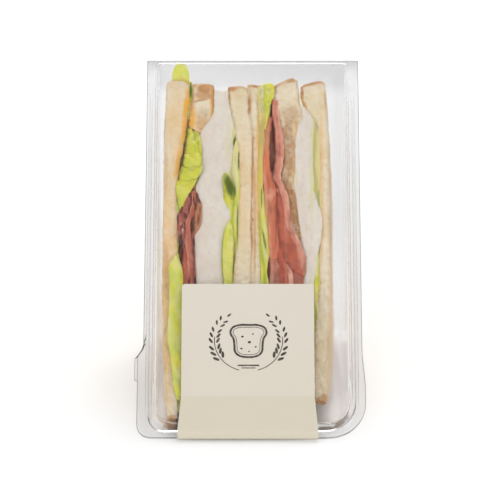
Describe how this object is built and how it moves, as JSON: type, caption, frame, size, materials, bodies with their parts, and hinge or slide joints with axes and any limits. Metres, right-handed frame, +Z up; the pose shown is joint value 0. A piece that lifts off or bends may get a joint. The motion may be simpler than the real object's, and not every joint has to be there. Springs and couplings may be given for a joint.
{
  "type": "club sandwich",
  "caption": "Club sandwich: cut wedges of sliced bread with chicken mayonnaise, bacon and lettuce, side by side in a shut clear wedge pack with a plain sealing label.",
  "frame": {"origin": "centre of the pack's footprint, on the surface that it stands on", "axes": "+Z up, -Y towards the shopper: the clear face slopes up and back at 45 degrees, +X to the right along the stack of slices"},
  "size_m": [0.0988, 0.1294, 0.1297],
  "materials": {
    "clear_plastic": "clear thermoformed plastic, glossy",
    "label_paper": "matt cream paper",
    "bread": "soft open crumb with a thin tan crust",
    "lettuce": "moist leaf",
    "bacon": "moist cured meat with pale fat",
    "chicken_mayo": "creamy, slightly lumpy"
  },
  "bodies": {
    "root": {"tray": "clear_plastic", "lid": "clear_plastic", "label": "label_paper", "bread_a1": "bread", "lettuce_a1": "lettuce", "bacon_a": "bacon", "bread_a2": "bread", "chicken_mayo_a": "chicken_mayo", "lettuce_a2": "lettuce", "bread_a3": "bread", "bread_b1": "bread", "lettuce_b1": "lettuce", "bacon_b": "bacon", "bread_b2": "bread", "chicken_mayo_b": "chicken_mayo", "lettuce_b2": "lettuce", "bread_b3": "bread"}
  },
  "joints": []
}
